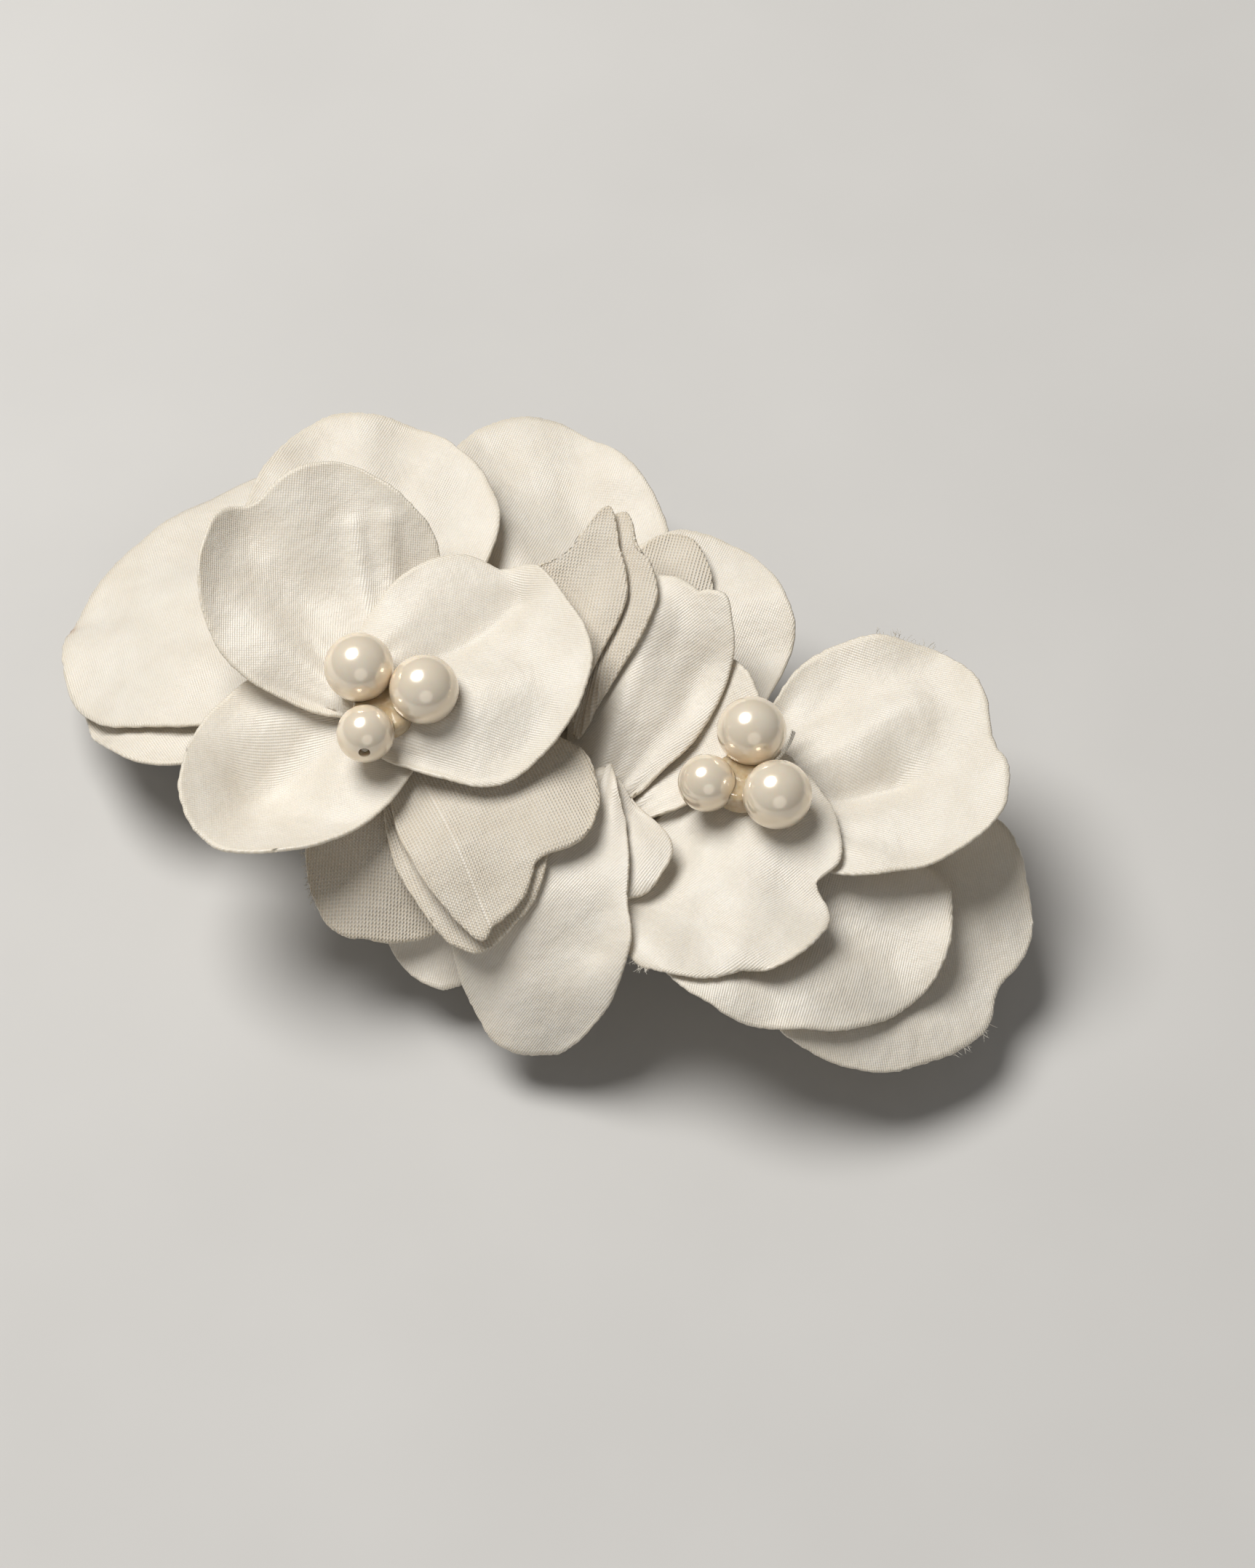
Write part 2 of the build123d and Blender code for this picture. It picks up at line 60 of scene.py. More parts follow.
# Cloth, felt and thread, in millimetres
CLOTH = 0.35  # thickness of the petals' fabric
FELT = 1.0  # thickness of the backing felt
DISC_FELT = 0.8  # thickness of the flowers' felt discs
LAY_GAP = 0.05  # between the felt layers
PETAL_GAP = 0.12  # least room between two petals
PEARL_GAP = 0.05  # room round a pearl that sits on a petal
LOWEST = 1.2  # height above the table that no petal droops below
WAVE = 0.26  # height of the chance waves in a petal
FIBRE = 0.035  # radius of a frayed fibre at its root
THREAD = 0.2  # radius of the loose thread at its root

# Shares
RIM_WAVE = 0.045  # slow waves along a cut rim
RIM_FRAY = 0.004  # unevenness from point to point of a cut rim
EDGE_BULGE = 0.3  # how far a cut edge stands out, as a share of the thickness
STEEPEST = 0.45  # slope at which a raised part of a petal goes back down

# Meshes
GRID = 57  # points across a petal; odd, because it settles on every second one
CELL = 0.5  # side of one cell of the pile's height field, in millimetres
CELLS = 320  # cells each way
UPPER, UNDER, EDGE = 0, 1, 2  # the sides of a closed sheet

# Studio
KEY_POWER = 4.4  # watts
FILL_POWER = 0.35
SURROUND = 0.13  # brightness of the surround
WARM_WHITE = (1.0, 0.985, 0.96)
CAMERA_AZIMUTH = 22  # degrees
CAMERA_ELEVATION = 56
CAMERA_AIM = (5.16, 2.62, 0)  # millimetres
CAMERA_DISTANCE = 433.4
CAMERA_LENS = 110
CAMERA_SENSOR = 36


def box_mm(node):
    """Lowest and highest corner of a CAD node, in millimetres."""
    low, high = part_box(node)
    return np.array(low) / MM, np.array(high) / MM


def middle_of(node):
    """The middle of a CAD node's box, in millimetres."""
    low, high = box_mm(node)
    return (low + high) / 2


def smooth(t):
    """Soft step from 0 to 1."""
    t = np.clip(t, 0, 1)
    return t * t * (3 - 2 * t)


# ------------------------------------------------------------------ materials


class Nodes:
    """A material's node tree, with short calls to add nodes and join them."""

    def __init__(self, name):
        self.material = bpy.data.materials.new(name)
        self.material.use_nodes = True
        self.tree = self.material.node_tree
        self.shader = self.tree.nodes["Principled BSDF"]

    def add(self, kind, inputs=None, **settings):
        """A new node. Each input is a value, or another node's output to join."""
        node = self.tree.nodes.new(kind)
        for key, value in settings.items():
            setattr(node, key, value)
        for key, value in (inputs or {}).items():
            self.put(node.inputs[key], value)
        return node

    def put(self, socket, value):
        """Set a socket, or join an output to it."""
        if isinstance(value, bpy.types.NodeSocket):
            self.tree.links.new(value, socket)
        else:
            socket.default_value = value

    def shade(self, **values):
        """Set the shader's own sockets, by name with _ for a space."""
        for key, value in values.items():
            self.put(self.shader.inputs[key.replace("_", " ")], value)

    def math(self, operation, first, second=0.0):
        """One arithmetic node's output."""
        return self.add("ShaderNodeMath", {0: first, 1: second}, operation=operation).outputs[0]

    def noise(self, place, scale, detail):
        """A noise texture's value over a place."""
        made = self.add("ShaderNodeTexNoise", {"Vector": place, "Scale": scale, "Detail": detail})
        return made.outputs["Fac"]

    def ramp(self, value, low, high, first, second):
        """Colour from first to second as the value goes from low to high."""
        made = self.add("ShaderNodeValToRGB", {"Fac": value})
        made.color_ramp.elements[0].position = low
        made.color_ramp.elements[1].position = high
        made.color_ramp.elements[0].color = (*first, 1)
        made.color_ramp.elements[1].color = (*second, 1)
        return made.outputs["Color"]

    def blend(self, share, first, second, way="MIX"):
        """Two colours mixed by a share."""
        made = self.add("ShaderNodeMix", data_type="RGBA", blend_type=way)
        self.put(made.inputs["Factor"], share)
        self.put(made.inputs["A"], first)
        self.put(made.inputs["B"], second)
        return made.outputs["Result"]

    def bump(self, height, distance, strength, below=None):
        """A bumped normal, over another one if that is given."""
        made = self.add(
            "ShaderNodeBump", {"Height": height, "Distance": distance, "Strength": strength}
        )
        if below is not None:
            self.put(made.inputs["Normal"], below)
        return made.outputs["Normal"]


def threads_of(nodes, flat, period, turn=0.0):
    """Two waves that cross at right angles, one for each set of threads in a weave."""
    turned = nodes.add("ShaderNodeMapping", {"Vector": flat, "Rotation": (0, 0, turn)})
    parts = nodes.add("ShaderNodeSeparateXYZ", {"Vector": turned.outputs["Vector"]})
    steps = [nodes.math("MULTIPLY", parts.outputs[k], math.tau / period) for k in (0, 1)]
    return [nodes.math("SINE", step) for step in steps]


def fabric(name, face):
    """Ivory satin: its smooth face with a fine twill grain, or its matt back with a plain weave."""
    nodes = Nodes(name)
    flat = nodes.add("ShaderNodeAttribute", attribute_name="cloth").outputs["Vector"]
    mark = nodes.add("ShaderNodeAttribute", attribute_name="mark").outputs["Fac"]
    rim = nodes.add("ShaderNodeAttribute", attribute_name="rim").outputs["Fac"]

    cloud = nodes.noise(flat, 260, 2.0)
    if face:
        colour = nodes.ramp(cloud, 0.3, 0.72, (0.82, 0.765, 0.685), (0.89, 0.845, 0.775))
    else:
        colour = nodes.ramp(cloud, 0.3, 0.72, (0.82, 0.76, 0.67), (0.90, 0.85, 0.77))
    fibre = nodes.noise(flat, 5200, 2.0)
    colour = nodes.blend(
        0.35, colour, nodes.ramp(fibre, 0.25, 0.75, (0.78, 0.77, 0.75), (1, 1, 1)), "MULTIPLY"
    )
    edge = nodes.math("MULTIPLY", rim, 0.4)
    colour = nodes.blend(edge, colour, (0.74, 0.66, 0.53, 1))
    colour = nodes.blend(mark, colour, (0.30, 0.13, 0.04, 1))

    if face:
        warp, weft = threads_of(nodes, flat, 0.21 * MM, math.radians(32))
        grain = nodes.math("ADD", warp, nodes.math("MULTIPLY", weft, 0.35))
        painted_gap_shade = (0.93, 0.91, 0.87)
        normal = nodes.bump(grain, 0.014 * MM, 0.8)
    else:
        warp, weft = threads_of(nodes, flat, 0.29 * MM)
        grain = nodes.math("ADD", warp, nodes.math("MULTIPLY", nodes.math("MULTIPLY", warp, weft), 0.8))
        painted_gap_shade = (0.86, 0.82, 0.76)
        normal = nodes.bump(grain, 0.032 * MM, 1.0)
    # Painted shade: the colour is darkened in the gaps between the threads, where the weave's bump is
    # low and shade would fall.
    colour = nodes.blend(
        1.0, colour, nodes.ramp(grain, 0.0, 0.75, painted_gap_shade, (1, 1, 1)), "MULTIPLY"
    )
    normal = nodes.bump(fibre, 0.02 * MM, 0.5, normal)
    normal = nodes.bump(nodes.noise(flat, 520, 3.0), 0.22 * MM, 0.8, normal)

    uneven = nodes.noise(flat, 420, 2.0)
    rough = nodes.add(
        "ShaderNodeMapRange",
        {"Value": uneven, "To Min": 0.32 if face else 0.5, "To Max": 0.47 if face else 0.66},
    ).outputs["Result"]
    nodes.shade(
        Base_Color=colour,
        Roughness=rough,
        Normal=normal,
        Specular_IOR_Level=0.5 if face else 0.35,
        Sheen_Weight=0.15,
        Sheen_Roughness=0.4,
        Sheen_Tint=(1.0, 0.97, 0.92, 1),
        Subsurface_Weight=0.12,
        Subsurface_Radius=(1.0, 0.75, 0.5),
        Subsurface_Scale=0.0012,
    )
    return nodes.material


def pearl_coat():
    """Imitation pearl: a cream body under a clear glossy coat, very slightly uneven."""
    nodes = Nodes("pearl")
    place = nodes.add("ShaderNodeTexCoord").outputs["Object"]
    cloud = nodes.noise(place, 330, 2.0)
    colour = nodes.ramp(cloud, 0.3, 0.7, (0.88, 0.80, 0.68), (0.93, 0.87, 0.77))
    nodes.shade(
        Base_Color=colour,
        Roughness=0.2,
        Normal=nodes.bump(nodes.noise(place, 900, 2.0), 0.01 * MM, 0.4),
        Metallic=0.25,
        Specular_IOR_Level=0.6,
        Coat_Weight=1.0,
        Coat_Roughness=0.06,
        Coat_IOR=1.6,
        Coat_Tint=(1.0, 0.96, 0.90, 1),
        Subsurface_Weight=0.25,
        Subsurface_Radius=(1.0, 0.7, 0.45),
        Subsurface_Scale=0.001,
    )
    return nodes.material


def clear_glue():
    """Clear glue, yellowed a little."""
    nodes = Nodes("clear_glue")
    place = nodes.add("ShaderNodeTexCoord").outputs["Object"]
    cloud = nodes.noise(place, 1400, 2.0)
    nodes.shade(
        Base_Color=nodes.ramp(cloud, 0.3, 0.7, (0.62, 0.44, 0.24), (0.80, 0.66, 0.46)),
        Roughness=0.16,
        Normal=nodes.bump(cloud, 0.08 * MM, 0.5),
        IOR=1.48,
        Transmission_Weight=0.35,
        Coat_Weight=0.6,
        Coat_Roughness=0.05,
        Subsurface_Weight=0.3,
        Subsurface_Radius=(1.0, 0.6, 0.25),
        Subsurface_Scale=0.0012,
    )
    return nodes.material


def sewing_thread():
    """Ivory thread with a tight twist."""
    nodes = Nodes("thread")
    place = nodes.add("ShaderNodeTexCoord").outputs["Object"]
    parts = nodes.add("ShaderNodeSeparateXYZ", {"Vector": place})
    along = nodes.math("ADD", parts.outputs["Z"], nodes.math("MULTIPLY", parts.outputs["Y"], 0.8))
    along = nodes.math("ADD", along, nodes.math("MULTIPLY", parts.outputs["X"], 0.7))
    twist = nodes.math("SINE", nodes.math("MULTIPLY", along, math.tau / (0.3 * MM)))
    # Painted shade: the colour is darker in the grooves of the twist, where the bump is low.
    nodes.shade(
        Base_Color=nodes.ramp(twist, 0.0, 1.0, (0.66, 0.61, 0.52), (0.84, 0.80, 0.72)),
        Roughness=0.55,
        Sheen_Weight=0.3,
        Normal=nodes.bump(twist, 0.05 * MM, 0.8),
    )
    return nodes.material


def wool_felt():
    """Matt cream felt with matted fibres."""
    nodes = Nodes("felt")
    place = nodes.add("ShaderNodeTexCoord").outputs["Object"]
    stretched = nodes.add("ShaderNodeMapping", {"Vector": place, "Scale": (1, 2.4, 1)})
    fibres = nodes.noise(stretched.outputs["Vector"], 2600, 6.0)
    clumps = nodes.noise(place, 500, 3.0)
    colour = nodes.ramp(fibres, 0.3, 0.7, (0.60, 0.55, 0.46), (0.79, 0.75, 0.67))
    colour = nodes.blend(
        0.5, colour, nodes.ramp(clumps, 0.3, 0.7, (0.86, 0.84, 0.8), (1, 1, 1)), "MULTIPLY"
    )
    normal = nodes.bump(fibres, 0.12 * MM, 0.9)
    nodes.shade(
        Base_Color=colour,
        Roughness=0.95,
        Specular_IOR_Level=0.15,
        Sheen_Weight=0.5,
        Sheen_Roughness=0.6,
        Normal=nodes.bump(clumps, 0.2 * MM, 0.5, normal),
    )
    return nodes.material


def pressed_steel(name, colour, roughness, grain):
    """Rolled sheet steel: fine grain along the clip and faint handling marks."""
    nodes = Nodes(name)
    place = nodes.add("ShaderNodeTexCoord").outputs["Object"]
    rolled = nodes.add("ShaderNodeMapping", {"Vector": place, "Scale": (0.06, 1, 1)})
    lines = nodes.noise(rolled.outputs["Vector"], 5200, 4.0)
    smears = nodes.noise(place, 240, 3.0)
    darker = tuple(0.82 * c for c in colour)
    rough = nodes.add(
        "ShaderNodeMapRange",
        {"Value": smears, "To Min": roughness * 0.75, "To Max": roughness * 1.35},
    ).outputs["Result"]
    nodes.shade(
        Base_Color=nodes.ramp(lines, 0.25, 0.75, darker, colour),
        Metallic=1.0,
        Roughness=rough,
        Normal=nodes.bump(lines, grain * MM, 0.5),
    )
    return nodes.material


MATERIALS = {
    "satin_face": fabric("satin_face", True),
    "satin_back": fabric("satin_back", False),
    "pearl": pearl_coat(),
    "clear_glue": clear_glue(),
    "thread": sewing_thread(),
    "felt": wool_felt(),
    "nickel_steel": pressed_steel("nickel_steel", (0.66, 0.65, 0.63), 0.24, 0.006),
    "spring_steel": pressed_steel("spring_steel", (0.50, 0.50, 0.51), 0.34, 0.012),
}


# ------------------------------------------------------------------ petals, cut flat and bent


@dataclass
class Petal:
    """One petal. Sizes are in millimetres and angles in degrees.

    It leaves its base along `azimuth`, starts at `pitch` above level and turns by `curl` on
    the way to its tip. `left` and `right` are its half widths seen from the base. Its base
    is `neck` times as wide, and it reaches its full width at `belly` of its length. `cup` is
    its sideways curvature. Each lobe is (bearing from the tip, share, width in radians) and
    moves the rim out there, or in where its share is negative. `square` pushes the shoulders
    out, `point` draws the tip in to a point, and `gather` wrinkles the cloth round the base.
    `lift_left` raises the left rim. `back_up` lays the petal with its matt side up. Each
    fold is (along, across, along, across, width, height): a ridge or valley between two
    places on the flat petal.
    """

    name: str
    base: tuple
    azimuth: float
    length: float
    left: float
    right: float
    pitch: float
    curl: float
    cup: float = 0.02
    neck: float = 0.3
    belly: float = 0.62
    lobes: list = field(default_factory=list)
    square: float = 0.0
    point: float = 0.0
    gather: float = 0.25
    lift_left: float = 0.0
    back_up: bool = False
    folds: list = field(default_factory=list)


def disc_points(count):
    """A square grid squeezed into a disc: x to the right, y from base to tip."""
    steps = np.linspace(-1, 1, count)
    across, along = np.meshgrid(steps, steps, indexing="ij")
    return across * np.sqrt(1 - along**2 / 2), along * np.sqrt(1 - across**2 / 2)


def cut_flat(petal, rng):
    """The petal's points on the flat cloth: distance from the base, and to the right."""
    x, y = disc_points(GRID)
    radius = np.hypot(x, y)
    bearing = np.arctan2(x, y)
    rim = np.ones_like(bearing)
    for lobe_at, lobe, lobe_width in petal.lobes:
        rim += lobe * np.exp(-(((bearing - math.radians(lobe_at)) / lobe_width) ** 2))
    for waves in (5, 9, 17):
        rim += RIM_WAVE / waves * np.sin(waves * bearing + rng.uniform(0, math.tau))
    frayed = np.array([rng.uniform(-1, 1) for _ in range(GRID * GRID)]).reshape(GRID, GRID)
    rim += RIM_FRAY * frayed
    scale = 1 + (rim - 1) * radius**3
    shoulder = 1 + petal.square * np.abs(x) * np.abs(y) * (y > 0)
    x, y = x * scale * shoulder, y * scale * shoulder
    share = (y + 1) / 2
    taper = petal.neck + (1 - petal.neck) * smooth(share / petal.belly)
    taper *= 1 - petal.point * smooth((share - 0.55) / 0.45)
    across = np.where(x > 0, x * petal.right, x * petal.left) * taper
    return share * petal.length, across, radius


def rise_of(petal, along, across, rng):
    """How far each point stands off the smoothly bent petal."""
    share = along / petal.length
    widest = max(petal.left, petal.right)
    side_lift = np.where(across > 0, 0.0, petal.lift_left)
    off = side_lift * (np.abs(across) / widest) ** 2.5 * smooth(share * 1.2)
    for start_s, start_w, end_s, end_w, width, height in petal.folds:
        step = np.array([end_s - start_s, end_w - start_w], float)
        long = np.hypot(*step)
        step /= long
        ahead = (along - start_s) * step[0] + (across - start_w) * step[1]
        aside = (across - start_w) * step[0] - (along - start_s) * step[1]
        beyond = np.maximum(0, np.maximum(-ahead, ahead - long))
        off = off + height * np.exp(-((aside**2 + beyond**2) / width**2))
    bearing = np.arctan2(across, along + 2.0)
    fade = np.exp(-along / (0.28 * petal.length)) * smooth(along / 2.5)
    off = off + petal.gather * fade * np.sin(15 * bearing + rng.uniform(0, math.tau))
    off = off + 0.5 * petal.gather * fade * np.sin(27 * bearing + rng.uniform(0, math.tau))
    for _ in range(3):
        turn, phase = rng.uniform(0, math.pi), rng.uniform(0, math.tau)
        ahead = along * math.cos(turn) + across * math.sin(turn)
        off = off + WAVE * smooth(share * 2) * np.sin(ahead * math.tau / rng.uniform(9, 15) + phase)
    return off


def bend(petal, along, across, off):
    """Points of the bent petal's underside."""
    pitch, curl = math.radians(petal.pitch), math.radians(petal.curl)
    angle = pitch + curl * along / petal.length
    reach = petal.length / curl * (np.sin(angle) - math.sin(pitch))
    climb = petal.length / curl * (math.cos(pitch) - np.cos(angle))
    sideways = np.sin(petal.cup * across) / petal.cup
    off = off + (1 - np.cos(petal.cup * across)) / petal.cup
    heading = math.radians(petal.azimuth)
    outward = reach - off * np.sin(angle)
    x = petal.base[0] + outward * math.cos(heading) + sideways * math.sin(heading)
    y = petal.base[1] + outward * math.sin(heading) - sideways * math.cos(heading)
    z = petal.base[2] + climb + off * np.cos(angle)
    return np.stack([x, y, z], axis=-1)


# ------------------------------------------------------------------ the pile of petals


def finer(grid, times):
    """The same surface with more rows and columns, by straight interpolation."""
    for axis in (0, 1):
        count = grid.shape[axis]
        places = np.linspace(0, count - 1, (count - 1) * times + 1)
        before = np.minimum(places.astype(int), count - 2)
        form = [1] * grid.ndim
        form[axis] = -1
        share = (places - before).reshape(form)
        first, second = np.take(grid, before, axis), np.take(grid, before + 1, axis)
        grid = first * (1 - share) + second * share
    return grid


class Pile:
    """Height of the topmost layer laid so far, over a square grid above the table."""

    def __init__(self, lowest):
        self.top = np.full((CELLS, CELLS), lowest)

    def cell_of(self, points):
        """The cell that each point is in."""
        index = np.round(points[..., :2] / CELL).astype(int) + CELLS // 2
        index = np.clip(index, 0, CELLS - 1)
        return index[..., 0], index[..., 1]

    def height(self, points):
        """The pile's height under each point."""
        return self.top[self.cell_of(points)]

    def lay(self, points):
        """Raise the pile to these points."""
        np.maximum.at(self.top, self.cell_of(points), points[..., 2])

    def lay_node(self, node):
        """Lay a CAD node's upper surface."""
        mesh = frame["nodes"][node].data
        corners = np.array([v.co for v in mesh.vertices]) / MM
        mesh.calc_loop_triangles()
        for triangle in mesh.loop_triangles:
            a, b, c = corners[list(triangle.vertices)]
            longest = max(np.linalg.norm(b - a), np.linalg.norm(c - b), np.linalg.norm(a - c))
            steps = max(1, int(longest / CELL * 1.5))
            i, j = np.meshgrid(np.arange(steps + 1), np.arange(steps + 1))
            inside = i + j <= steps
            u, v = (i[inside] / steps)[:, None], (j[inside] / steps)[:, None]
            self.lay(a + u * (b - a) + v * (c - a))


def settle(grid, pile):
    """Raise a petal, softly, until it clears everything laid before it."""
    need = np.maximum(0, pile.height(grid) + PETAL_GAP - grid[..., 2])
    size = need.shape[0]
    spread = 2
    padded = np.pad(need, spread, mode="edge")
    steps = range(2 * spread + 1)
    around = [padded[i : i + size, j : j + size] for i in steps for j in steps]
    need = np.max(around, axis=0)[::2, ::2]

    flat = grid[::2, ::2, :2].reshape(-1, 2)
    apart = np.linalg.norm(flat[:, None] - flat[None], axis=-1)
    lift = np.max(need.reshape(1, -1) - STEEPEST * apart, axis=1).clip(0).reshape(need.shape)
    for _ in range(8):
        edge = np.pad(lift, 1, mode="edge")
        beside = edge[:-2, 1:-1] + edge[2:, 1:-1] + edge[1:-1, :-2] + edge[1:-1, 2:]
        lift = (beside + 2 * lift) / 6
    lift = lift + max(0, (need - lift).max())
    raised = grid.copy()
    raised[..., 2] += finer(lift, 2)
    return raised


# ------------------------------------------------------------------ meshes


def mesh_piece(name, points, faces, materials):
    """A new mesh object that rides on the barrette, from points in millimetres."""
    mesh = bpy.data.meshes.new(name)
    mesh.from_pydata((np.asarray(points) * MM).tolist(), [], faces)
    mesh.polygons.foreach_set("use_smooth", [True] * len(mesh.polygons))
    for material in materials:
        mesh.materials.append(MATERIALS[material])
    piece = bpy.data.objects.new(name, mesh)
    bpy.context.scene.collection.objects.link(piece)
    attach(piece, BODY)
    return piece


def normals_of(grid):
    """Unit normals of a grid of points, upward side; the rim takes those just inside it."""
    along_i = np.gradient(grid, axis=0)
    along_j = np.gradient(grid, axis=1)
    normal = np.cross(along_i, along_j)
    inner = np.clip(np.arange(grid.shape[0]), 2, grid.shape[0] - 3)
    normal = normal[np.ix_(inner, inner)]
    length = np.linalg.norm(normal, axis=-1, keepdims=True)
    return normal / np.maximum(length, 1e-9)


def rim_of(count):
    """Grid places round the edge, in order."""
    last = count - 1
    down = [(i, 0) for i in range(last)]
    right = [(last, j) for j in range(last)]
    up = [(last - i, last) for i in range(last)]
    left = [(0, last - j) for j in range(last)]
    return down + right + up + left


def closed_sheet(under, thickness):
    """Points and faces of a sheet: its underside, its upper side and a rounded cut edge.

    Also gives which grid place each point belongs to, and which side each face is on.
    """
    count = under.shape[0]
    normal = normals_of(under)
    upper = under + normal * thickness
    places = [(i, j) for i in range(count) for j in range(count)]
    points = [under[p] for p in places] + [upper[p] for p in places]
    home = places * 2

    def low(i, j):
        return i * count + j

    def high(i, j):
        return count * count + low(i, j)

    faces, sides = [], []
    for i in range(count - 1):
        for j in range(count - 1):
            faces.append((high(i, j), high(i + 1, j), high(i + 1, j + 1), high(i, j + 1)))
            faces.append((low(i, j), low(i, j + 1), low(i + 1, j + 1), low(i + 1, j)))
            sides += [UPPER, UNDER]
    ring = rim_of(count)
    middle = under[count // 2, count // 2]
    edge_start = len(points)
    for place in ring:
        half = (under[place] + upper[place]) / 2
        out = half - middle
        out -= normal[place] * (out @ normal[place])
        points.append(half + out / np.linalg.norm(out) * thickness * EDGE_BULGE)
        home.append(place)
    for k, place in enumerate(ring):
        following = ring[(k + 1) % len(ring)]
        edge, next_edge = edge_start + k, edge_start + (k + 1) % len(ring)
        faces.append((low(*place), low(*following), next_edge, edge))
        faces.append((edge, next_edge, high(*following), high(*place)))
        sides += [EDGE, EDGE]
    return points, faces, home, sides


def write_attribute(mesh, name, kind, values):
    """Store one value a point for the materials to read."""
    layer = mesh.attributes.new(name, kind, "POINT")
    layer.data.foreach_set(
        "vector" if kind == "FLOAT_VECTOR" else "value", np.asarray(values, np.float32).ravel()
    )


# ------------------------------------------------------------------ the flowers

LEFT = middle_of("left_felt_disc")
MIDDLE = middle_of("middle_felt_disc")
RIGHT = middle_of("right_felt_disc")


def beside(hub, z, dx=0.0, dy=0.0):
    """A petal's starting point, given from the middle of its flower head."""
    return (hub[0] + dx, hub[1] + dy, z)


